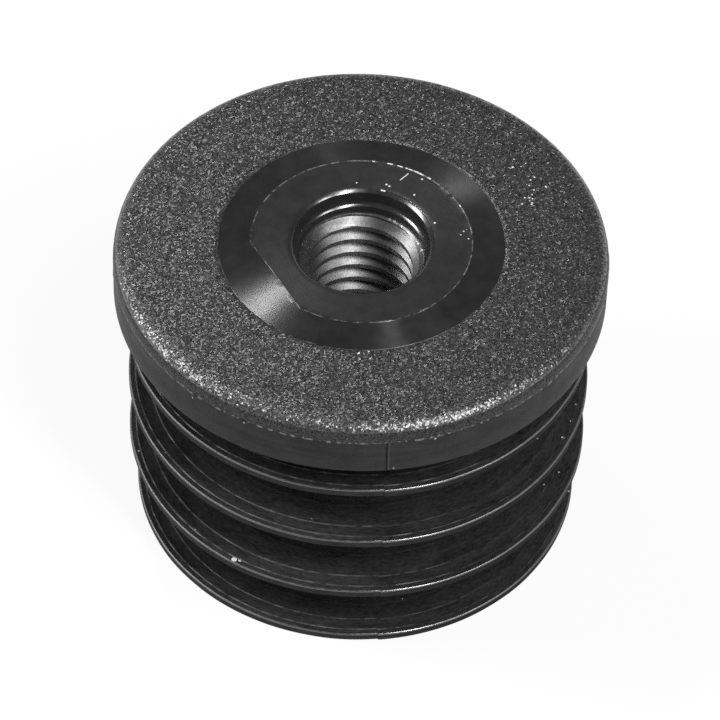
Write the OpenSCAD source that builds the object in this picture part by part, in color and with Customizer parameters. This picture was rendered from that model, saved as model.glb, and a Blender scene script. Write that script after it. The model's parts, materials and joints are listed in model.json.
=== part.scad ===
// Threaded tube insert: a round ribbed plug with a flanged head and a threaded steel bush moulded in.
// It stands on its lead end, with its axis on Z and the head up. Sizes are in millimetres.

/* [Tube] */
// Outside diameter of the tube, which the head matches
tube_d = 40; // [38:0.5:60]
// Wall of the tube
tube_wall = 1.5; // [1:0.1:2]

/* [Head] */
// Thickness of the head, from its seat on the tube's end to the textured face
head_t = 4.9; // [3.5:0.1:8]
// Radius of the head's rounded upper edge
edge_r = 1.5; // [0.5:0.1:2.5]

/* [Raised centre] */
// Diameter of the flat disc round the hole
disc_d = 17.9; // [16:0.1:20]
// Height of the disc above the textured face
disc_h = 0.3; // [0.1:0.05:0.8]
// Width of the polished cone that slopes from the disc down to the textured face
cone_w = 2.6; // [1:0.1:4]
// How far the flat on one side cuts into the disc
flat_depth = 1; // [0.2:0.1:1.5]
// Direction of that flat from the axis, in degrees from +X
flat_angle = 211; // [0:1:359]

/* [Ribs] */
// Number of ribs
rib_count = 4; // [4:1:8]
// Distance from one rib to the next
rib_pitch = 6.3; // [5:0.1:9]
// Distance from the head's seat to the first rib
first_gap = 3.6; // [2:0.1:8]
// Thickness of a rib at its rim
rib_t = 0.75; // [0.5:0.05:1.5]
// How much thicker a rib is at its root
rib_flare = 0.45; // [0.1:0.05:1]
// How far a rib reaches past the tube's bore, and bends when it is pushed in
rib_squeeze = 0.45; // [0.1:0.05:0.8]
// Clearance of the lead rib inside the tube's bore
lead_clearance = 0.15; // [0.05:0.05:0.5]
// Depth of the grooves between the ribs
groove_depth = 3.85; // [2:0.05:4]

/* [Bush] */
// Nominal diameter of the metric thread
thread_d = 10; // [8:1:12]
// Pitch of the thread
thread_pitch = 1.5; // [1:0.25:1.75]
// Thinnest steel outside the thread, at the middle of a hexagon side
bush_wall = 2; // [1.5:0.1:2.5]
// Length of the bush
bush_l = 16; // [10:0.5:18]
// Depth of the bush's upper end below the textured face
bush_depth = 1.8; // [1.2:0.1:3]
// Included angle of the countersink at each end of the bush
countersink_angle = 90; // [60:5:120]
// Ledge of steel between the throat and the countersink
countersink_ledge = 0.1; // [0.1:0.05:0.5]

/* [Hole] */
// Clearance of the mouth round the thread
mouth_clearance = 0.55; // [0.3:0.05:0.8]
// Radius of the mouth's rounded edge
mouth_r = 0.35; // [0.1:0.05:0.6]
// Clearance of the plastic throats, above and below the bush, round the thread
throat_clearance = 0.1; // [0.05:0.05:0.25]
// Length of the throat above the bush
throat_l = 0.85; // [0.3:0.05:0.9]

/* [Underside] */
// Wall of the tubular body that carries the ribs
core_wall = 2.1; // [1.5:0.1:2.5]
// Thinnest plastic round the corners of the bush
boss_wall = 1.8; // [1:0.1:2]

/* [Hidden] */
$fn = 96;
cut_past = 1;
hexagon_sides = 6;

bore_r = tube_d / 2 - tube_wall;
head_r = tube_d / 2;
rib_r = bore_r + rib_squeeze;
lead_r = bore_r - lead_clearance;
core_r = rib_r - groove_depth;

seat_z = first_gap + (rib_count - 1) * rib_pitch + rib_t;
face_z = seat_z + head_t;
disc_z = face_z + disc_h;

disc_r = disc_d / 2;
cone_r = disc_r + cone_w;
flat_dist = disc_r - flat_depth;
ridge_z = disc_z + flat_depth * disc_h / cone_w;

mouth_wall_r = thread_d / 2 + mouth_clearance;
throat_r = thread_d / 2 + throat_clearance;
bush_top = face_z - bush_depth;
bush_bottom = bush_top - bush_l;
ledge_z = bush_top + throat_l;

tap_r = (thread_d - thread_pitch) / 2;
countersink_r = throat_r - countersink_ledge;
countersink_h = (countersink_r - tap_r) / tan(countersink_angle / 2);
bush_corner_r = (thread_d / 2 + bush_wall) / cos(180 / hexagon_sides);

boss_r = bush_corner_r + boss_wall;
recess_r = core_r - core_wall;

// Half section of the head, with its rounded upper edge
module head_section() {
    translate([0, seat_z]) square([head_r, head_t - edge_r]);
    translate([0, seat_z]) square([head_r - edge_r, head_t]);
    translate([head_r - edge_r, face_z - edge_r]) circle(edge_r);
}

// Half section of the cone that rises from the textured face as far as the flat's ridge
module cone_section() {
    polygon([[0, face_z], [cone_r, face_z], [flat_dist, ridge_z], [0, ridge_z]]);
}

// Half section of one rib: level on top and thicker below towards its root
module rib_section(top) {
    polygon([
        [0, top],
        [rib_r, top],
        [rib_r, top - rib_t],
        [core_r, top - rib_t - rib_flare],
        [0, top - rib_t - rib_flare]
    ]);
}

// The core with its ribs, the lead rib level with the core's end
module stem() {
    cylinder(h = seat_z, r = core_r);
    for (i = [0 : rib_count - 2]) rotate_extrude() rib_section(seat_z - first_gap - i * rib_pitch);
    cylinder(h = rib_t, r = lead_r);
}

// Half section of the hole: rounded mouth, wall, ledge and throat
module hole_section() {
    translate([0, ledge_z]) square([mouth_wall_r, ridge_z - ledge_z + cut_past]);
    translate([0, -cut_past]) square([throat_r, ledge_z + 2 * cut_past]);
    difference() {
        translate([0, disc_z - mouth_r]) square([mouth_wall_r + mouth_r, mouth_r]);
        translate([mouth_wall_r + mouth_r, disc_z - mouth_r]) circle(mouth_r);
    }
}

// Space of the open recess between the boss and the core's wall
module recess_space() {
    translate([0, 0, -cut_past]) difference() {
        cylinder(h = seat_z + cut_past, r = recess_r);
        cylinder(h = seat_z + cut_past, r = boss_r);
    }
}

// Space above the disc, a circle with the flat cut off it
module disc_space() {
    translate([0, 0, disc_z]) linear_extrude(ridge_z - disc_z + cut_past) intersection() {
        circle(disc_r);
        rotate(flat_angle) translate([flat_dist - 2 * disc_r, -disc_r]) square(2 * disc_r);
    }
}

// Outside of the bush: a length of hexagon bar
module bush_bar() {
    translate([0, 0, bush_bottom]) cylinder(h = bush_l, r = bush_corner_r, $fn = hexagon_sides);
}

// The moulding: head, raised centre, core, ribs and boss in one piece
module body() {
    color("#202021") difference() {
        union() {
            rotate_extrude() head_section();
            rotate_extrude() cone_section();
            stem();
        }
        rotate_extrude() hole_section();
        recess_space();
        disc_space();
        bush_bar();
    }
}

// The steel bush, with a tapping-size hole that is countersunk at both ends
module threaded_bush() {
    color("#a3a3a0") difference() {
        bush_bar();
        rotate_extrude() polygon([
            [0, bush_bottom - cut_past],
            [countersink_r, bush_bottom - cut_past],
            [countersink_r, bush_bottom],
            [tap_r, bush_bottom + countersink_h],
            [tap_r, bush_top - countersink_h],
            [countersink_r, bush_top],
            [countersink_r, bush_top + cut_past],
            [0, bush_top + cut_past]
        ]);
    }
}

body();
threaded_bush();
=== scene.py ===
import json
import math

import bmesh
import bpy
import numpy as np
from mathutils import Matrix, Vector


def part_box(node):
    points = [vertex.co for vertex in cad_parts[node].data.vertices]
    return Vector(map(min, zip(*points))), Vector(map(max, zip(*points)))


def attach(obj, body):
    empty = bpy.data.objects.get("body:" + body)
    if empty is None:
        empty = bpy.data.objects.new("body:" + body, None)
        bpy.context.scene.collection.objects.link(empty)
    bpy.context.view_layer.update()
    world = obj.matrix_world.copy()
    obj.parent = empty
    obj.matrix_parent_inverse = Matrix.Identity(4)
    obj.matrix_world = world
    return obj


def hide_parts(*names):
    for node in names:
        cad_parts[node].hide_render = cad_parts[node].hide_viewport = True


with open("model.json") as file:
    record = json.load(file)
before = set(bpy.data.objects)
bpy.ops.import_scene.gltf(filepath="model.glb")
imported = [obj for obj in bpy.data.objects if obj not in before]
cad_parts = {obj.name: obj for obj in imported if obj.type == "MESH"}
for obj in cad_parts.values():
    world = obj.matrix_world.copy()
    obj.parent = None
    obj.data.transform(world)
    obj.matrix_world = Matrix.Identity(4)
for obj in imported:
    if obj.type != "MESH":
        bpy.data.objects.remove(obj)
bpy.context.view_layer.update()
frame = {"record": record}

# Sizes in millimetres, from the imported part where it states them
MM = 0.001
mounts = {m["name"]: m for m in frame["record"]["mounts"]}
body_low, body_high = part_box("body")
bush_low, bush_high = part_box("threaded_bush")

HEAD_R = (body_high.x - body_low.x) / 2 / MM
SEAT_Z = mounts["head_seat"]["pos_m"][2] / MM
DISC_Z = mounts["disc_face"]["pos_m"][2] / MM
RIB_R = mounts["tube_plug"]["dims"]["r_mm"]
TAP_R = mounts["thread"]["dims"]["r_mm"]
BUSH_TOP = bush_high.z / MM
BUSH_BOTTOM = bush_low.z / MM
BUSH_APOTHEM = (bush_high.y - bush_low.y) / 2 / MM

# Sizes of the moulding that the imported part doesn't state
DISC_H = 0.3
FACE_Z = DISC_Z - DISC_H
EDGE_R = 1.5
EDGE_SQUARENESS = 2.5
PARTING_Z = FACE_Z - EDGE_R
CONE_R = 11.55
DISC_R = 8.95
FLAT_DIST = 7.95
FLAT_ANGLE = math.radians(211)
CONE_SLOPE = DISC_H / (CONE_R - DISC_R)
RIB_PITCH = 6.3
FIRST_GAP = 3.6
RIB_T = 0.75
RIB_FLARE = 0.45
RIB_COUNT = 4
LEAD_R = 18.35
RIM_R = 0.13
ROOT_R = 0.08
CORE_R = 15.1
BOSS_R = 9.88
RECESS_R = 13.0
MOUTH_R = 5.55
MOUTH_LIP = (0.37, 0.25)
THROAT_R = 5.1
LEDGE_LIP = (0.20, 0.16)
THROAT_L = 0.85
LEDGE_Z = BUSH_TOP + THROAT_L

# Thread of the bush
THREAD_R = 5.0
THREAD_PITCH = 1.5
COUNTERSINK_R = 5.0
FLANK_SLOPE = 1 / math.tan(math.radians(30))
FLANK_W = (THREAD_R - TAP_R) / FLANK_SLOPE
ROOT_W = THREAD_PITCH / 8
CREST_W = THREAD_PITCH - ROOT_W - 2 * FLANK_W
FIRST_TURN_DEPTH = 3.0
BUSH_CHAMFER = 0.25
# Turns that the rows run on past the ends, and the least of one above the top
SPARE_TURNS = 2
LEAST_START = 0.1
# Rows of the mesh over a flank, the crest, the other flank and the root
THREAD_ROWS = (6, 4, 5, 2)

# Small edges and steps of the section
SEAT_EDGE = 0.15
SEAT_EDGE_MID = 0.04
SIDE_MID = 1.6
CONE_GAP = 0.12
CONE_STEP = 0.03
HOLE_CHAMFER = 0.3
FOOT_R = 0.25
RECESS_FILLET_R = 0.7
UNDER_RIM_R = 0.1

# Marks that the mould leaves, and bands of painted shade and painted highlight beside the seam
SEAM_ANGLE = math.radians(-82.6)
SEAM_W = 0.07
SEAM_H = 0.05
SEAM_OFFSETS = (-0.35, -0.2, -0.1, -0.05, 0.0, 0.05, 0.1, 0.2, 0.35)
# Bands across the seam's ridge: painted shade on one side, a painted highlight on the other
SEAM_PAINTED_SHADE = (-0.14, -0.04)
SEAM_PAINTED_HIGHLIGHT = (0.03, 0.13)
HALF_MISMATCH = 0.1
MISMATCH_STEEPNESS = 10
GRAIN_H = 0.006
GRAIN_START = math.radians(29)
ROUND_END = math.radians(80)

# Bead along the parting line: where it starts, stands out most and ends, and how far it stands out
BEAD_FOOT = 0.14
BEAD_CROWN = 0.08
BEAD_HEAD = 0.05
BEAD_LEAST = 0.01
BEAD_MOST = 0.10

# Burr round the disc: its rings from outside to inside, its heights and the flakes on it
BURR_FOOT = 0.06
BURR_OUTER = 0.02
BURR_INNER = 0.03
BURR_END = 0.08
BURR_LEAST = 0.012
BURR_MOST = 0.02
FLAKE_H = 0.09
FLAKE_W = 1.1
FLAKE_ANGLE = math.radians(57)

# Fine lines on each rib, as inset from the rim and height, and the wave of the rim
RIB_LINES = ((0.58, 0.045), (1.65, 0.035))
LINE_FOOT = 0.09
LINE_CROWN = 0.03
LINE_LEAST = 0.2
RIM_WAVE = 0.025
RIM_WAVE_COUNTS = (3, 5, 8, 13, 21)

# Dashes in one turn of each uneven line, and the seeds of what is uneven
BEAD_DASHES = 130
BURR_DASHES = 110
FLAKE_DASHES = 160
LINE_DASHES = 140
DASH_SPARSENESS = 1.5
GRAIN_SEED = 7
BEAD_SEED = 3
BURR_SEED = 5
FLAKE_SEED = 6
RIB_SEEDS = (0, 10, 20)
LEAD_SEED = 40

# Columns, rings and steps of the meshes
BODY_SIDES = 440
BUSH_SIDES = 240
LEAST_TURN = 2e-4
EDGE_STEPS = 14
FACE_RINGS = 22
CONE_RINGS = 9
DISC_RINGS = 8
MOUTH_STEPS = 10
LEDGE_STEPS = 8
ROOT_STEPS = 2
FOOT_STEPS = 4
RECESS_STEPS = 5
UNDER_RIM_STEPS = 3
RIM_STEPS = 6
CRISP_ANGLE = math.radians(22)
WELD = 0.0005

rng = np.random.RandomState(GRAIN_SEED)
SIDE, GRAIN, ROUND, FILLET, CONE, DISC, EDGE, LINE, LAND, LIP, BURR, BEAD = range(12)


def around(sides, seams=()):
    """Angles round the axis, evenly spread, with a few more on each side of a mould seam."""
    angles = list(np.arange(sides) * 2 * math.pi / sides)
    for seam in seams:
        for offset in SEAM_OFFSETS:
            angles.append((seam + offset / HEAD_R) % (2 * math.pi))
    angles = np.unique(np.round(angles, 5))
    return angles[np.append(np.diff(angles) > LEAST_TURN, True)]


def ripple(angles, counts, seed):
    """A smooth wave round the axis, made of a few sines, between about -1 and 1."""
    draw = np.random.RandomState(seed)
    least, most = 0.5, 1.0
    total = np.zeros_like(angles)
    for count in counts:
        total += draw.uniform(least, most) * np.sin(count * angles + draw.uniform(0, 2 * math.pi))
    return total / ((least + most) / 2 * len(counts))


def dashes(angles, per_turn, seed):
    """An uneven dashed line round the axis: values from 0 to 1."""
    draw = np.random.RandomState(seed)
    knots = draw.uniform(0, 1, per_turn) ** DASH_SPARSENESS
    place = angles / (2 * math.pi) * per_turn
    return np.interp(place, np.arange(per_turn + 1), np.append(knots, knots[0]))


def near(angles, centre, radius):
    """Distance along the rim from a direction, in millimetres."""
    return radius * (np.mod(angles - centre + math.pi, 2 * math.pi) - math.pi)


def make_piece(name, verts, faces, zones):
    """A mesh object from points in millimetres, with double points welded and crisp edges kept."""
    mesh = bpy.data.meshes.new(name)
    mesh.from_pydata((verts * MM).tolist(), [], faces.tolist())
    mesh.polygons.foreach_set("material_index", zones.astype(np.int32))
    weld = bmesh.new()
    weld.from_mesh(mesh)
    bmesh.ops.remove_doubles(weld, verts=weld.verts, dist=WELD * MM)
    weld.to_mesh(mesh)
    weld.free()
    mesh.polygons.foreach_set("use_smooth", np.ones(len(mesh.polygons), dtype=bool))
    mesh.set_sharp_from_angle(angle=CRISP_ANGLE)
    mesh.update()
    piece = bpy.data.objects.new(name, mesh)
    bpy.context.collection.objects.link(piece)
    return piece


class Lathe:
    """A closed surface round the axis, made of rings whose radius and height may change with the angle."""

    def __init__(self, angles):
        self.angles = angles
        self.rings = []
        self.zones = []

    def ring(self, r, z, zone=SIDE):
        """One ring; zone is the finish of the strip from it to the next ring."""
        self.rings.append((r + 0 * self.angles, z + 0 * self.angles))
        self.zones.append(zone)

    def arc(self, centre_r, centre_z, radius, start, end, steps, zone=SIDE, then=None):
        """An arc in the section, from start to end in degrees; then is the finish of the strip after it."""
        for i in range(steps + 1):
            a = math.radians(start + (end - start) * i / steps)
            self.ring(centre_r + radius * math.cos(a), centre_z + radius * math.sin(a), zone)
        if then is not None:
            self.zones[-1] = then

    def lip(self, wall_r, top_z, size, steps, zone, then):
        """A softened chamfer from a level face, inwards and down to an upright wall."""
        width, height = size
        softness = 1.75
        for i in range(steps + 1):
            a = math.pi / 2 * i / steps
            inwards = math.sin(a) ** softness
            left = max(math.cos(a), 0) ** softness
            self.ring(wall_r + width * (1 - inwards), top_z - height * (1 - left), zone)
        self.zones[-1] = then

    def build(self, name):
        """Joins each ring to the next, and the last to the first."""
        n = len(self.angles)
        cos, sin = np.cos(self.angles), np.sin(self.angles)
        verts = np.concatenate([np.c_[r * cos, r * sin, z] for r, z in self.rings])
        column = np.arange(n)
        beside = (column + 1) % n
        faces = []
        for i in range(len(self.rings)):
            low, high = i * n, (i + 1) % len(self.rings) * n
            faces.append(np.c_[low + column, low + beside, high + beside, high + column])
        return make_piece(name, verts, np.concatenate(faces), np.repeat(self.zones, n))


def hexagon(angles, apothem):
    """Radius of a hexagon with a corner on +X, at each angle."""
    return apothem / np.cos(np.mod(angles, math.pi / 3) - math.pi / 6)


# The moulding

def rib_top(i):
    """Height of a rib's upper face, with the ribs counted down from the head."""
    return SEAT_Z - FIRST_GAP - i * RIB_PITCH


def add_head(lathe):
    """The head's seat, side, parting line, rounded edge and textured face."""
    angles = lathe.angles
    seam = sum(np.exp(-(near(angles, SEAM_ANGLE + half, HEAD_R) / SEAM_W) ** 2) for half in (0, math.pi))
    side = HEAD_R + SEAM_H * seam
    lathe.arc(CORE_R + ROOT_R, SEAT_Z - ROOT_R, ROOT_R, 180, 90, ROOT_STEPS)
    lathe.ring(HEAD_R - SEAT_EDGE, SEAT_Z)
    lathe.ring(HEAD_R - SEAT_EDGE_MID, SEAT_Z + SEAT_EDGE_MID)
    lathe.ring(side, SEAT_Z + SEAT_EDGE)
    lathe.ring(side, SEAT_Z + SIDE_MID)
    lathe.ring(side, PARTING_Z - BEAD_FOOT)
    bead = BEAD_LEAST + BEAD_MOST * dashes(angles, BEAD_DASHES, BEAD_SEED) ** DASH_SPARSENESS
    lathe.ring(HEAD_R + bead, PARTING_Z - BEAD_CROWN, BEAD)
    lathe.ring(HEAD_R + BEAD_LEAST, PARTING_Z + BEAD_HEAD, FILLET)
    for i in range(1, EDGE_STEPS + 1):
        a = math.pi / 2 * i / EDGE_STEPS
        rough = EDGE_R + GRAIN_H * rng.randn(len(angles))
        zone = FILLET if a < GRAIN_START else ROUND if a < ROUND_END else GRAIN
        out = max(math.cos(a), 0) ** (2 / EDGE_SQUARENESS)
        rise = math.sin(a) ** (2 / EDGE_SQUARENESS)
        lathe.ring(HEAD_R - EDGE_R + rough * out, PARTING_Z + rough * rise, zone)
    for r in np.linspace(HEAD_R - EDGE_R, CONE_R + CONE_GAP, FACE_RINGS)[1:]:
        lathe.ring(r, FACE_Z + GRAIN_H * rng.randn(len(angles)), GRAIN)


def disc_radius(angles):
    """Radius of the disc's edge at each angle, with its flat."""
    off_flat = np.cos(angles - FLAT_ANGLE)
    on_flat = off_flat > FLAT_DIST / DISC_R
    return np.where(on_flat, FLAT_DIST / np.where(on_flat, off_flat, 1), DISC_R)


def add_centre(lathe):
    """The polished cone, the burr at its inner edge, the disc with its flat, and the hole."""
    angles = lathe.angles
    inner = disc_radius(angles)
    lathe.ring(CONE_R + CONE_STEP, FACE_Z - CONE_STEP, BURR)
    for t in np.linspace(0, 1, CONE_RINGS):
        r = CONE_R + (inner + BURR_FOOT - CONE_R) * t
        lathe.ring(r, FACE_Z + CONE_SLOPE * (CONE_R - r), CONE)
    flakes = np.exp(-(near(angles, FLAKE_ANGLE, DISC_R) / FLAKE_W) ** 2)
    burr = BURR_LEAST + BURR_MOST * dashes(angles, BURR_DASHES, BURR_SEED)
    burr += FLAKE_H * flakes * dashes(angles, FLAKE_DASHES, FLAKE_SEED)
    edge_z = FACE_Z + CONE_SLOPE * (CONE_R - inner)
    lathe.ring(inner + BURR_OUTER, edge_z + burr, BURR)
    lathe.ring(inner - BURR_INNER, edge_z + burr, BURR)
    disc_start = inner - BURR_END
    disc_end = MOUTH_R + MOUTH_LIP[0]
    for t in np.linspace(0, 1, DISC_RINGS)[:-1]:
        lathe.ring(disc_start + (disc_end - disc_start) * t, DISC_Z, DISC)
    lathe.lip(MOUTH_R, DISC_Z, MOUTH_LIP, MOUTH_STEPS, LIP, DISC)
    lathe.ring(MOUTH_R, LEDGE_Z, DISC)
    lathe.lip(THROAT_R, LEDGE_Z, LEDGE_LIP, LEDGE_STEPS, LIP, DISC)
    lathe.ring(THROAT_R, BUSH_TOP)


def add_underside(lathe):
    """The bush's seat, the hole below it, the boss and the recess round it."""
    bush = hexagon(lathe.angles, BUSH_APOTHEM)
    for z in (BUSH_TOP, BUSH_BOTTOM):
        lathe.ring(bush, z)
    lathe.ring(THROAT_R, BUSH_BOTTOM)
    lathe.ring(THROAT_R, HOLE_CHAMFER)
    lathe.ring(THROAT_R + HOLE_CHAMFER, 0)
    fillet_z = SEAT_Z - RECESS_FILLET_R
    lathe.arc(BOSS_R - FOOT_R, FOOT_R, FOOT_R, -90, 0, FOOT_STEPS)
    lathe.arc(BOSS_R + RECESS_FILLET_R, fillet_z, RECESS_FILLET_R, 180, 90, RECESS_STEPS)
    lathe.arc(RECESS_R - RECESS_FILLET_R, fillet_z, RECESS_FILLET_R, 90, 0, RECESS_STEPS)
    lathe.arc(RECESS_R + FOOT_R, FOOT_R, FOOT_R, 180, 270, FOOT_STEPS)


def add_rib(lathe, top, rim_r, seed, lead=False):
    """One rib from its underside over its rim to its root, with the fine lines along its edge."""
    angles = lathe.angles
    half = np.clip(0.5 + MISMATCH_STEEPNESS * HEAD_R * np.sin(angles - SEAM_ANGLE), 0, 1)
    wave = RIM_WAVE * ripple(angles, RIM_WAVE_COUNTS, seed)
    rim = rim_r + HALF_MISMATCH * (half - 0.5) + wave
    low = top - RIB_T
    if not lead:
        lathe.arc(CORE_R + ROOT_R, low - RIB_FLARE - ROOT_R, ROOT_R, 180, 90, ROOT_STEPS)
    lathe.arc(rim - UNDER_RIM_R, low + UNDER_RIM_R, UNDER_RIM_R, -90, 0, UNDER_RIM_STEPS, LAND)
    lathe.arc(rim - RIM_R, top - RIM_R, RIM_R, 0, 90, RIM_STEPS, EDGE, SIDE)
    for number, (inset, height) in enumerate(RIB_LINES, 1):
        middle = rim - inset
        line = height * (LINE_LEAST + (1 - LINE_LEAST) * dashes(angles, LINE_DASHES, seed + number))
        lathe.ring(middle + LINE_FOOT, top, LINE)
        lathe.ring(middle + LINE_CROWN, top + line, LINE)
        lathe.ring(middle - LINE_CROWN, top + line)
        lathe.ring(middle - LINE_FOOT, top)
    lathe.arc(CORE_R + ROOT_R, top + ROOT_R, ROOT_R, -90, -180, ROOT_STEPS)


def make_body():
    """The whole moulding, ring by ring: over the head, down the hole, under the foot and up the ribs."""
    lathe = Lathe(around(BODY_SIDES, (SEAM_ANGLE, SEAM_ANGLE + math.pi)))
    add_head(lathe)
    add_centre(lathe)
    add_underside(lathe)
    add_rib(lathe, RIB_T, LEAD_R, LEAD_SEED, lead=True)
    for i in reversed(range(RIB_COUNT - 1)):
        add_rib(lathe, rib_top(i), RIB_R, RIB_SEEDS[i])
    return lathe.build("tube_insert_body")


# The bush

def thread_radius(from_root, z):
    """Radius of the tapped hole: the thread's profile, opened out by the countersinks."""
    turns = np.clip(THREAD_R - FLANK_SLOPE * (from_root - ROOT_W / 2), TAP_R, THREAD_R)
    from_end = np.minimum(BUSH_TOP - z, z - BUSH_BOTTOM)
    return np.maximum(turns, COUNTERSINK_R - from_end)


def make_bush():
    """A length of hexagon bar with a right-hand thread; the rows of the hole climb with the thread."""
    sides = BUSH_SIDES
    angles = np.arange(sides) * 2 * math.pi / sides
    corners = np.cumsum([ROOT_W / 2, FLANK_W, CREST_W, FLANK_W, ROOT_W / 2])
    ends = np.append(corners[1:4], corners[4] + ROOT_W / 2)
    down = np.concatenate([np.linspace(a, b, k, endpoint=False)
                           for a, b, k in zip(corners, ends, THREAD_ROWS)])
    turns = math.ceil((BUSH_TOP - BUSH_BOTTOM) / THREAD_PITCH) + SPARE_TURNS
    drop = np.concatenate([down + i * THREAD_PITCH for i in range(turns)])
    groove = FACE_Z - FIRST_TURN_DEPTH - FLANK_W - ROOT_W / 2 - THREAD_PITCH / 4
    first = groove + THREAD_PITCH * math.ceil((BUSH_TOP - groove) / THREAD_PITCH + LEAST_START)
    climb = THREAD_PITCH * angles[:, None] / (2 * math.pi)
    z = np.clip(first + climb - drop, BUSH_BOTTOM, BUSH_TOP)
    phase = np.mod(first + climb - z + THREAD_PITCH / 2, THREAD_PITCH) - THREAD_PITCH / 2
    r = thread_radius(np.abs(phase), z)

    bar = hexagon(angles, BUSH_APOTHEM)
    outside = (
        (BUSH_CHAMFER, BUSH_BOTTOM),
        (0, BUSH_BOTTOM + BUSH_CHAMFER),
        (0, BUSH_TOP - BUSH_CHAMFER),
        (BUSH_CHAMFER, BUSH_TOP),
    )
    for inset, height in outside:
        r = np.c_[r, bar - inset]
        z = np.c_[z, np.full(sides, height)]

    rows = r.shape[1]
    row = np.arange(rows)
    hole = len(drop)
    shifted = np.where(row < hole, np.maximum(row - len(down), 0), row)
    verts = np.c_[(r * np.cos(angles)[:, None]).ravel(), (r * np.sin(angles)[:, None]).ravel(), z.ravel()]
    faces = []
    for column in range(sides):
        last = column == sides - 1
        beside = (column + 1) % sides * rows + (shifted if last else row)
        here = column * rows + row
        faces.append(np.c_[here, beside, np.roll(beside, -1), np.roll(here, -1)])
    faces = np.concatenate(faces)
    return make_piece("tube_insert_threaded_bush", verts, faces, np.zeros(len(faces)))


# Materials

# Span that most of a noise texture lies in
NOISE_SPAN = (0.3, 0.7)
# Tone that white flecks and painted glints add, and sizes of the grain as texture scales
FLECK_AND_GLINT_TONE = 0.6
GRAIN_TONE_SCALE = 6800
FACET_SCALE = 7600
# Quarter turn that lays the gloss across the turning rings
ACROSS_RINGS = 0.25


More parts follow.
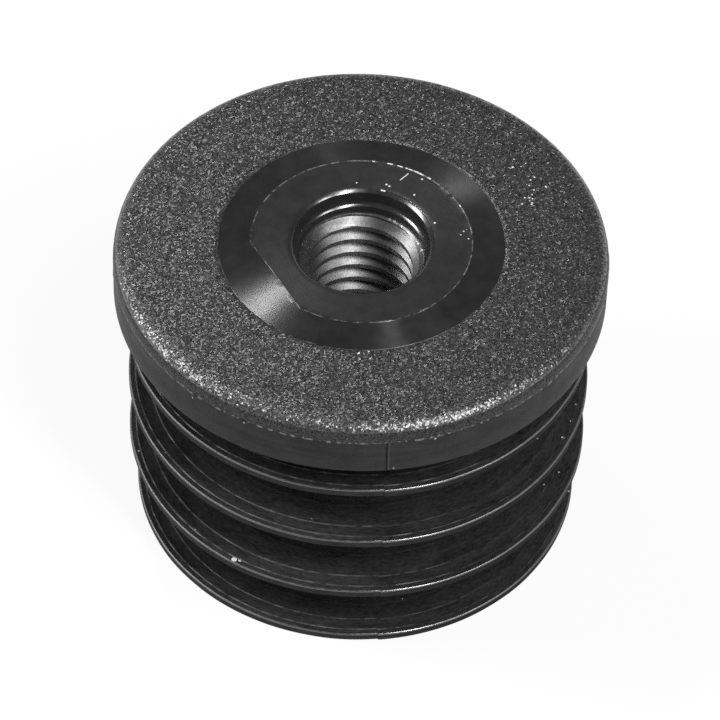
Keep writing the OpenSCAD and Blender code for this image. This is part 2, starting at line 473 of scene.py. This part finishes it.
class Nodes:
    """A material's node tree, with short calls to add and link nodes."""

    def __init__(self, name):
        self.material = bpy.data.materials.new(name)
        self.material.use_nodes = True
        self.tree = self.material.node_tree
        self.tree.nodes.clear()
        self.output = self.tree.nodes.new("ShaderNodeOutputMaterial")

    def add(self, kind, **properties):
        """A new node with some of its properties set."""
        made = self.tree.nodes.new(kind)
        for key, value in properties.items():
            setattr(made, key, value)
        return made

    def put(self, node, socket, value):
        """Links an output to an input socket, or sets the socket's own value."""
        if isinstance(value, bpy.types.NodeSocket):
            self.tree.links.new(value, node.inputs[socket])
        else:
            node.inputs[socket].default_value = value

    def place(self):
        """The place on the surface, in metres."""
        return self.add("ShaderNodeTexCoord").outputs["Object"]

    def height(self):
        """The place along +Z, in metres."""
        return self.vector("DOT_PRODUCT", self.place(), (0, 0, 1))

    def sideways(self):
        """The place along +X, in metres."""
        return self.vector("DOT_PRODUCT", self.place(), (1, 0, 0))

    def noise(self, scale, detail, roughness, vector=None):
        """Soft noise, mostly between the limits of NOISE_SPAN."""
        made = self.add("ShaderNodeTexNoise")
        self.put(made, "Scale", scale)
        self.put(made, "Detail", detail)
        self.put(made, "Roughness", roughness)
        self.put(made, "Vector", vector or self.place())
        return made.outputs["Fac"]

    def ramp(self, value, low, high, out_low, out_high):
        """Takes a value from low to high on to one from out_low to out_high, and no further."""
        made = self.add("ShaderNodeMapRange")
        limits = {"From Min": low, "From Max": high, "To Min": out_low, "To Max": out_high}
        for socket, number in limits.items():
            self.put(made, socket, number)
        self.put(made, "Value", value)
        return made.outputs["Result"]

    def spread(self, noise, low, high):
        """Takes a noise, over its usual span, to values from low to high."""
        return self.ramp(noise, *NOISE_SPAN, low, high)

    def math(self, operation, a, b=0.0):
        """One sum on numbers."""
        made = self.add("ShaderNodeMath", operation=operation)
        self.put(made, 0, a)
        self.put(made, 1, b)
        return made.outputs[0]

    def vector(self, operation, a, b=(0, 0, 0)):
        """One sum on vectors."""
        made = self.add("ShaderNodeVectorMath", operation=operation)
        self.put(made, 0, a)
        self.put(made, 1, b)
        return made.outputs["Value" if operation in ("DISTANCE", "DOT_PRODUCT") else "Vector"]

    def band(self, value, low, high):
        """1 where a value in metres lies between two limits in millimetres."""
        above = self.math("GREATER_THAN", value, low * MM)
        return self.math("MULTIPLY", above, self.math("LESS_THAN", value, high * MM))

    def cells(self, scale):
        """Small cells of even size: their distances from the centre, and two random draws for each cell."""
        made = self.add("ShaderNodeTexVoronoi")
        self.put(made, "Vector", self.place())
        self.put(made, "Scale", scale)
        draw = self.add("ShaderNodeTexWhiteNoise")
        self.put(draw, "Vector", made.outputs["Position"])
        return made.outputs["Distance"], draw.outputs["Value"], made.outputs["Color"]

    def specks(self, scale, share, radius):
        """1 on a few specks: the share of cells that hold one, and its radius in millimetres."""
        distance, draw, _ = self.cells(scale)
        chosen = self.math("LESS_THAN", draw, share)
        return self.math("MULTIPLY", chosen, self.math("LESS_THAN", distance, radius * MM * scale))

    def inside(self, balls):
        """1 inside any of a few balls, given by their centre and radius in millimetres."""
        total = 0.0
        for x, y, z, radius in balls:
            gap = self.vector("DISTANCE", self.place(), (x * MM, y * MM, z * MM))
            total = self.math("MAXIMUM", total, self.math("LESS_THAN", gap, radius * MM))
        return total

    def sum(self, *values):
        """All the values added up."""
        total = values[0]
        for value in values[1:]:
            total = self.math("ADD", total, value)
        return total

    def grey(self, value):
        """A colour of one grey value."""
        made = self.add("ShaderNodeCombineColor")
        for socket in ("Red", "Green", "Blue"):
            self.put(made, socket, value)
        return made.outputs["Color"]

    def bump(self, height, distance, strength):
        """The normal of a surface raised by height times a distance in metres."""
        made = self.add("ShaderNodeBump")
        self.put(made, "Height", height)
        self.put(made, "Distance", distance)
        self.put(made, "Strength", strength)
        return made.outputs["Normal"]

    def polar(self, turn_stretch, rise_stretch=1.0):
        """Radius, turn and height as a vector, so that a texture runs round the axis or along it."""
        split = self.add("ShaderNodeSeparateXYZ")
        self.put(split, 0, self.place())
        x, y, z = split.outputs
        squares = self.math("ADD", self.math("MULTIPLY", x, x), self.math("MULTIPLY", y, y))
        radius = self.math("SQRT", squares)
        turn = self.math("MULTIPLY", self.math("ARCTAN2", y, x), turn_stretch)
        rise = self.math("MULTIPLY", z, rise_stretch)
        made = self.add("ShaderNodeCombineXYZ")
        for socket, value in zip("XYZ", (radius, turn, rise)):
            self.put(made, socket, value)
        return made.outputs[0]

    def facets(self, scale, least, most):
        """The surface's normal, leaning another way on each small cell, most of them a little."""
        _, draw, colour = self.cells(scale)
        steepness = self.math("MULTIPLY", draw, draw)
        lean = self.vector("SUBTRACT", colour, (0.5, 0.5, 0.5))
        lean = self.vector("MULTIPLY", lean, self.grey(self.ramp(steepness, 0, 1, least, most)))
        normal = self.vector("ADD", self.add("ShaderNodeNewGeometry").outputs["Normal"], lean)
        return self.vector("NORMALIZE", normal)

    def turned(self):
        """The direction round the axis, for finishes with turning rings."""
        return self.add("ShaderNodeTangent", direction_type="RADIAL", axis="Z").outputs[0]

    def principled(self, **sockets):
        """The surface's shader; each socket's name has _ for a space."""
        made = self.add("ShaderNodeBsdfPrincipled")
        for name, value in sockets.items():
            self.put(made, name.replace("_", " "), value)
        self.tree.links.new(made.outputs[0], self.output.inputs["Surface"])


def on_rim(radius, degrees, z, size):
    """A ball at a radius and direction from the axis."""
    a = math.radians(degrees)
    return (radius * math.cos(a), radius * math.sin(a), z, size)


def plastic_side():
    """Smooth black plastic of the side, ribs and underside, with flow marks, dust, and painted shade and
    painted highlight beside the seam.
    """
    n = Nodes("black_plastic_smooth")
    flow = n.noise(1500, detail=4, roughness=0.65, vector=n.polar(0.0025))
    cloud = n.noise(500, detail=3, roughness=0.6)
    on_head = n.band(n.height(), SEAT_Z, FACE_Z)
    scrapes = n.noise(6500, detail=3, roughness=0.7, vector=n.polar(0.005))
    scrapes = n.ramp(scrapes, 0.38, 0.66, -0.005, 0.014)
    scrapes = n.math("MULTIPLY", scrapes, n.ramp(on_head, 0, 1, 1.0, 0.2))
    tone = n.sum(n.spread(cloud, 0.012, 0.020), n.ramp(flow, 0.35, 0.65, 0.002, 0.014), scrapes)
    # Painted shade beside the seam's ridge and a painted highlight on its other flank
    across = n.vector("DOT_PRODUCT", n.place(), (-math.sin(SEAM_ANGLE), math.cos(SEAM_ANGLE), 0))
    painted_seam_shade = n.math("MULTIPLY", on_head, n.band(across, *SEAM_PAINTED_SHADE))
    tone = n.math("MULTIPLY", tone, n.ramp(on_head, 0, 1, 0.95, 1.0))
    tone = n.math("MULTIPLY", tone, n.math("SUBTRACT", 1.0, painted_seam_shade))
    painted_seam_highlight = n.math("MULTIPLY", n.math("MULTIPLY", on_head, n.band(across, *SEAM_PAINTED_HIGHLIGHT)), 0.02)
    dust = n.math("MULTIPLY", n.specks(700, share=0.25, radius=0.10), 0.3)
    rib_2 = rib_top(1)
    rib_3 = rib_top(2)
    nicks = n.inside((on_rim(18.4, -11, rib_2, size=0.10), on_rim(18.4, -17, rib_2, size=0.09),
                      on_rim(18.4, -23, rib_2, size=0.13), on_rim(18.6, -121, rib_3, size=0.22),
                      on_rim(18.4, -119.6, rib_3, size=0.15)))
    n.principled(
        Base_Color=n.grey(n.sum(tone, painted_seam_highlight, dust, n.math("MULTIPLY", nicks, FLECK_AND_GLINT_TONE))),
        Roughness=n.spread(flow, 0.42, 0.58),
        Specular_IOR_Level=0.08,
        Normal=n.bump(flow, distance=0.03 * MM, strength=0.6),
    )
    return n.material


def plastic_land():
    """Dull outer land of a rib, with shade painted on towards the right."""
    n = Nodes("black_plastic_land")
    cloud = n.noise(1200, detail=3, roughness=0.6, vector=n.polar(0.012))
    # Painted shade: the colour darkens towards +X
    painted_shade_right = n.ramp(n.sideways(), 2 * MM, 14 * MM, 1.0, 0.35)
    n.principled(
        Base_Color=n.grey(n.math("MULTIPLY", painted_shade_right, n.spread(cloud, 0.016, 0.032))),
        Roughness=n.spread(cloud, 0.5, 0.6),
        Specular_IOR_Level=0.045,
    )
    return n.material


def plastic_edge():
    """Burnished rim of a rib, glossy near the middle and duller to both sides."""
    n = Nodes("black_plastic_edge")
    wear = n.noise(2500, detail=3, roughness=0.6, vector=n.polar(0.012))
    aside = n.math("ABSOLUTE", n.math("SUBTRACT", n.sideways(), 4 * MM))
    duller = n.ramp(aside, 5 * MM, 12 * MM, 0.0, 0.26)
    n.principled(
        Base_Color=n.grey(n.ramp(wear, 0.4, 0.7, 0.012, 0.030)),
        Roughness=n.sum(n.spread(wear, 0.20, 0.30), duller),
        IOR=2.3,
    )
    return n.material


def plastic_lip():
    """Glossy softened lip of the hole."""
    n = Nodes("black_plastic_lip")
    haze = n.noise(2500, detail=3, roughness=0.6, vector=n.polar(0.006))
    chips = [on_rim(5.9, a, DISC_Z, size=0.1) for a in (73, 75)]
    chips += [on_rim(5.4, a, LEDGE_Z, size=0.11) for a in (157, 97.8, 59.8, 20.4, 9.6)]
    pale = n.math("MULTIPLY", n.inside(chips), 0.8)
    n.principled(
        Base_Color=n.grey(n.sum(n.spread(haze, 0.010, 0.016), pale)),
        Roughness=n.spread(haze, 0.19, 0.24),
        IOR=1.6,
        Specular_IOR_Level=1.0,
    )
    return n.material


def plastic_line():
    """Fine raised line of the mould on a rib, pale in dashes, with shade painted on towards the right."""
    n = Nodes("black_plastic_line")
    wear = n.noise(1600, detail=4, roughness=0.65, vector=n.polar(0.012))
    # Painted shade: the line darkens towards +X
    painted_shade_right = n.ramp(n.sideways(), -10 * MM, 12 * MM, 1.0, 0.3)
    n.principled(
        Base_Color=n.grey(n.math("MULTIPLY", painted_shade_right, n.ramp(wear, 0.36, 0.66, 0.03, 0.15))),
        Roughness=n.spread(wear, 0.30, 0.45),
        Specular_IOR_Level=0.25,
    )
    return n.material


def plastic_burr():
    """Thin burr along an edge, rubbed white here and there; its torn flakes are whitened and painted paler
    still as a highlight.
    """
    n = Nodes("black_plastic_burr")
    wear = n.noise(1100, detail=4, roughness=0.7, vector=n.polar(0.012))
    # Torn flakes: pale colour that is partly their whitening and partly a painted highlight
    torn_flakes_and_highlight = n.inside([on_rim(9.0, a, DISC_Z, size=0.3) for a in (54, 57, 60, 63, 66)])
    torn_flakes_and_highlight = n.math("MULTIPLY", torn_flakes_and_highlight, n.ramp(n.noise(5000, detail=2, roughness=0.5), 0.4, 0.6, 0.1, 0.7))
    chips = [on_rim(8.95, a, DISC_Z, size=0.12) for a in (85, 77, 75.5, 71.5, 70, 28)]
    chips += [on_rim(CONE_R, a, FACE_Z, size=0.16) for a in (98, 77.6, 75.7, 48)]
    n.principled(
        Base_Color=n.grey(n.sum(n.ramp(wear, 0.46, 0.68, 0.015, 0.20), torn_flakes_and_highlight,
                                n.math("MULTIPLY", n.inside(chips), FLECK_AND_GLINT_TONE))),
        Roughness=n.spread(wear, 0.25, 0.40),
        Specular_IOR_Level=0.5,
    )
    return n.material


def plastic_bead():
    """Bead along the mould's parting line, rubbed pale in short dashes."""
    n = Nodes("black_plastic_bead")
    wear = n.noise(3600, detail=2, roughness=0.5, vector=n.polar(0.012))
    n.principled(
        Base_Color=n.grey(n.ramp(wear, 0.48, 0.60, 0.012, 0.15)),
        Roughness=n.spread(wear, 0.35, 0.50),
        Specular_IOR_Level=0.3,
    )
    return n.material


def plastic_grain():
    """Spark-eroded grain: small facets that lean every way, dark and pale, with glints painted white on
    cells in a few spots.
    """
    n = Nodes("black_plastic_grain")
    tone = n.noise(GRAIN_TONE_SCALE, detail=1, roughness=0.5)
    # Spots where pale cells are painted on as glints
    glint_spots = ((13.2, 5.4, 0.9), (14.3, 7.2, 1.0), (12.6, 9.4, 0.7), (-0.6, -11.9, 0.7),
                  (0.5, -12.0, 0.7), (8.15, 16.7, 0.3), (-0.65, 18.5, 0.3))
    in_glint_spots = n.inside([(x, y, FACE_Z, radius) for x, y, radius in glint_spots])
    painted_glints = n.math("MULTIPLY", in_glint_spots, n.specks(3600, share=0.3, radius=0.08))
    pale = n.math("MULTIPLY", painted_glints, FLECK_AND_GLINT_TONE)
    n.principled(
        Base_Color=n.grey(n.sum(n.ramp(tone, 0.36, 0.70, 0.005, 0.043), pale)),
        Roughness=n.spread(tone, 0.31, 0.37),
        Specular_IOR_Level=0.85,
        Normal=n.facets(FACET_SCALE, least=0.26, most=0.48),
    )
    return n.material


def plastic_round():
    """The same grain on the head's rounded edge, where its facets lean more and shine more."""
    n = Nodes("black_plastic_round")
    tone = n.noise(GRAIN_TONE_SCALE, detail=1, roughness=0.5)
    n.principled(
        Base_Color=n.grey(n.ramp(tone, 0.36, 0.70, 0.0, 0.05)),
        Roughness=n.spread(tone, 0.30, 0.36),
        IOR=1.7,
        Specular_IOR_Level=0.9,
        Normal=n.facets(FACET_SCALE, least=0.38, most=0.72),
    )
    return n.material


def plastic_fillet():
    """Lower part of the head's rounded edge, where the grain runs out."""
    n = Nodes("black_plastic_fillet")
    tone = n.noise(GRAIN_TONE_SCALE, detail=1, roughness=0.5)
    n.principled(
        Base_Color=n.grey(n.ramp(tone, 0.34, 0.70, 0.006, 0.056)),
        Roughness=n.spread(tone, 0.40, 0.50),
        Specular_IOR_Level=0.2,
        Normal=n.facets(FACET_SCALE, least=0.36, most=0.60),
    )
    return n.material


def plastic_cone():
    """Polished cone with fine turning rings, which draw each light out into a radial streak."""
    n = Nodes("black_plastic_cone")
    rings = n.noise(14000, detail=2, roughness=0.5, vector=n.polar(0.0004))
    haze = n.noise(700, detail=3, roughness=0.6)
    n.principled(
        Base_Color=n.grey(n.spread(haze, 0.012, 0.019)),
        Roughness=n.spread(haze, 0.25, 0.28),
        Specular_IOR_Level=0.55,
        Anisotropic=1.0,
        Anisotropic_Rotation=ACROSS_RINGS,
        Tangent=n.turned(),
        Normal=n.bump(rings, distance=0.002 * MM, strength=0.4),
    )
    return n.material


def plastic_disc():
    """Satin disc and hole with faint turning rings and a few scuffs."""
    n = Nodes("black_plastic_disc")
    rings = n.noise(9000, detail=2, roughness=0.5, vector=n.polar(0.0006))
    haze = n.noise(900, detail=3, roughness=0.6)
    scuffed = n.inside((on_rim(8.6, 6, DISC_Z, size=0.7), on_rim(6.6, 95, DISC_Z, size=0.5)))
    scuffed = n.math("MULTIPLY", scuffed, n.specks(3000, share=0.25, radius=0.07))
    scratch = [(3.0 + 0.6 * t, 6.9 + 0.7 * t, DISC_Z, 0.055) for t in np.linspace(0, 1, 9)]
    chip_places = ((6.6, 73.5), (6.5, 71), (6.25, 20.6), (8.5, 56), (6.7, 51.7))
    chips = [on_rim(r, a, DISC_Z, size=0.09) for r, a in chip_places]
    marks = n.math("MAXIMUM", scuffed, n.inside(scratch + chips))
    n.principled(
        Base_Color=n.grey(n.sum(n.spread(haze, 0.018, 0.026), n.math("MULTIPLY", marks, FLECK_AND_GLINT_TONE))),
        Roughness=n.spread(rings, 0.29, 0.36),
        Specular_IOR_Level=0.26,
        Anisotropic=0.5,
        Anisotropic_Rotation=ACROSS_RINGS,
        Tangent=n.turned(),
        Normal=n.bump(rings, distance=0.012 * MM, strength=0.5),
    )
    return n.material


def cut_steel():
    """Bare steel with the fine marks that the tap leaves along the thread, and flecks on its upper edge."""
    n = Nodes("cut_steel")
    marks = n.noise(7000, detail=3, roughness=0.6, vector=n.polar(0.0009))
    streaks = n.noise(7000, detail=2, roughness=0.5, vector=n.polar(0.005, 0.03))
    upper_edge = n.band(n.height(), BUSH_TOP - 0.10, BUSH_TOP - 0.005)
    flecks = n.math("MULTIPLY", upper_edge, n.specks(4000, share=0.2, radius=0.10))
    chips = n.inside([on_rim(4.97, a, BUSH_TOP, size=0.12) for a in (63.3, 58.2, 13)])
    n.principled(
        Base_Color=n.grey(n.sum(n.spread(streaks, 0.18, 0.30), n.math("MULTIPLY", flecks, 0.5),
                                n.math("MULTIPLY", chips, FLECK_AND_GLINT_TONE))),
        Metallic=1.0,
        Roughness=n.spread(marks, 0.42, 0.48),
        Anisotropic=0.6,
        Anisotropic_Rotation=ACROSS_RINGS,
        Tangent=n.turned(),
    )
    return n.material


FINISHES = {
    SIDE: plastic_side,
    GRAIN: plastic_grain,
    ROUND: plastic_round,
    FILLET: plastic_fillet,
    CONE: plastic_cone,
    DISC: plastic_disc,
    EDGE: plastic_edge,
    LINE: plastic_line,
    LAND: plastic_land,
    LIP: plastic_lip,
    BURR: plastic_burr,
    BEAD: plastic_bead,
}

body = make_body()
for zone in sorted(FINISHES):
    body.data.materials.append(FINISHES[zone]())
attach(body, "root")
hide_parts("body")

bush = make_bush()
bush.data.materials.append(cut_steel())
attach(bush, "root")
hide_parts("threaded_bush")


# Camera, as the photograph was taken

CAMERA_ELEVATION = math.radians(48.15)
CAMERA_ROLL = math.radians(1.78)
CAMERA_LENS = 248.7
CAMERA_SENSOR = 36
# Middle of the head's face from the camera: right, down and ahead, in millimetres
FACE_FROM_CAMERA = (0.124, -9.402, 400.0)


def make_camera():
    """A camera at the photograph's angle, placed by where it sees the head's face."""
    face_offset = Vector(FACE_FROM_CAMERA) * MM
    sin_e, cos_e = math.sin(CAMERA_ELEVATION), math.cos(CAMERA_ELEVATION)
    sin_r, cos_r = math.sin(CAMERA_ROLL), math.cos(CAMERA_ROLL)
    upright = Matrix(((1, 0, 0), (0, -sin_e, -cos_e), (0, cos_e, -sin_e)))
    turn = Matrix(((cos_r, -sin_r, 0), (sin_r, cos_r, 0), (0, 0, 1)))
    to_camera = turn @ upright
    right, down, ahead = to_camera
    pose = Matrix((right, -down, -ahead)).transposed().to_4x4()
    pose.translation = Vector((0, 0, FACE_Z * MM)) - to_camera.transposed() @ face_offset
    data = bpy.data.cameras.new("camera")
    data.sensor_width = CAMERA_SENSOR
    data.lens = CAMERA_LENS
    data.clip_start = 0.01
    data.clip_end = 20
    camera = bpy.data.objects.new("camera", data)
    camera.matrix_world = pose
    bpy.context.collection.objects.link(camera)
    bpy.context.scene.camera = camera


# Studio, with its lengths in metres

PAPER_GREY = 0.8
PAPER_GLOW = 0.9
ROOM_LIGHT = 0.10
FLOOR_R = 2.4
FLOOR_BEND_R = 0.3
FLOOR_SIDES = 96
FLOOR_BEND_ROWS = 9


def softbox(name, direction, distance, width, height, watts):
    """A rectangular lamp that faces the head's centre from a direction."""
    aim = Vector((0, 0, FACE_Z * MM))
    data = bpy.data.lights.new(name, "AREA")
    data.shape = "RECTANGLE"
    data.size = width
    data.size_y = height
    data.energy = watts
    lamp = bpy.data.objects.new(name, data)
    towards = Vector(direction).normalized()
    lamp.location = aim + towards * distance
    lamp.rotation_euler = towards.to_track_quat("Z", "Y").to_euler()
    bpy.context.collection.objects.link(lamp)


def seen_directly(n):
    """1 for camera, glossy and transmission rays, which see the white background as it is."""
    path = n.add("ShaderNodeLightPath")
    seen = n.math("MAXIMUM", path.outputs["Is Camera Ray"], path.outputs["Is Glossy Ray"])
    return n.math("MAXIMUM", seen, path.outputs["Is Transmission Ray"])


def white_paper():
    """Matt white paper, bright enough in the camera to read as white; shadows still show on it."""
    n = Nodes("white_paper")
    paper = n.add("ShaderNodeBsdfDiffuse")
    n.put(paper, "Color", (PAPER_GREY, PAPER_GREY, PAPER_GREY, 1))
    glow = n.add("ShaderNodeEmission")
    mix = n.add("ShaderNodeMixShader")
    n.put(mix, 0, n.math("MULTIPLY", seen_directly(n), PAPER_GLOW))
    n.put(mix, 1, paper.outputs[0])
    n.put(mix, 2, glow.outputs[0])
    n.tree.links.new(mix.outputs[0], n.output.inputs["Surface"])
    return n.material


def make_floor():
    """A round paper floor that curls up at its rim."""
    sides = FLOOR_SIDES
    section = [(FLOOR_R + FLOOR_BEND_R * math.sin(a), FLOOR_BEND_R * (1 - math.cos(a)))
               for a in np.linspace(0, math.pi / 2, FLOOR_BEND_ROWS)]
    verts = [(0, 0, 0)]
    for r, z in section:
        verts += [(r * math.cos(a), r * math.sin(a), z) for a in np.arange(sides) * 2 * math.pi / sides]
    faces = [(0, 1 + i, 1 + (i + 1) % sides) for i in range(sides)]
    for row in range(len(section) - 1):
        low, high = 1 + row * sides, 1 + (row + 1) * sides
        faces += [(low + i, high + i, high + (i + 1) % sides, low + (i + 1) % sides) for i in range(sides)]
    mesh = bpy.data.meshes.new("floor")
    mesh.from_pydata(verts, [], faces)
    mesh.polygons.foreach_set("use_smooth", np.ones(len(mesh.polygons), dtype=bool))
    mesh.materials.append(white_paper())
    floor = bpy.data.objects.new("floor", mesh)
    bpy.context.collection.objects.link(floor)


def make_world():
    """The dim, even light of the room above the paper."""
    world = bpy.data.worlds.new("studio")
    bpy.context.scene.world = world
    world.use_nodes = True
    light = world.node_tree.nodes["Background"]
    light.inputs["Color"].default_value = (1, 1, 1, 1)
    light.inputs["Strength"].default_value = ROOM_LIGHT


make_camera()
softbox("lamp_back_left", (-0.22, 0.495, 0.8406), distance=0.3, width=0.018, height=0.018, watts=0.162)
softbox("lamp_left", (-0.808, 0.058, 0.588), distance=1.0, width=0.26, height=0.45, watts=7.0)
softbox("lamp_front_right", (0.345, -0.515, 0.785), distance=1.0, width=0.10, height=0.55, watts=7.8)
softbox("lamp_right", (0.665, -0.32, 0.674), distance=1.0, width=0.25, height=0.25, watts=2.4)
make_floor()
make_world()
bpy.context.scene.view_settings.view_transform = "Standard"
# The denoiser would wipe out the fine grain
bpy.context.scene.cycles.use_denoising = False
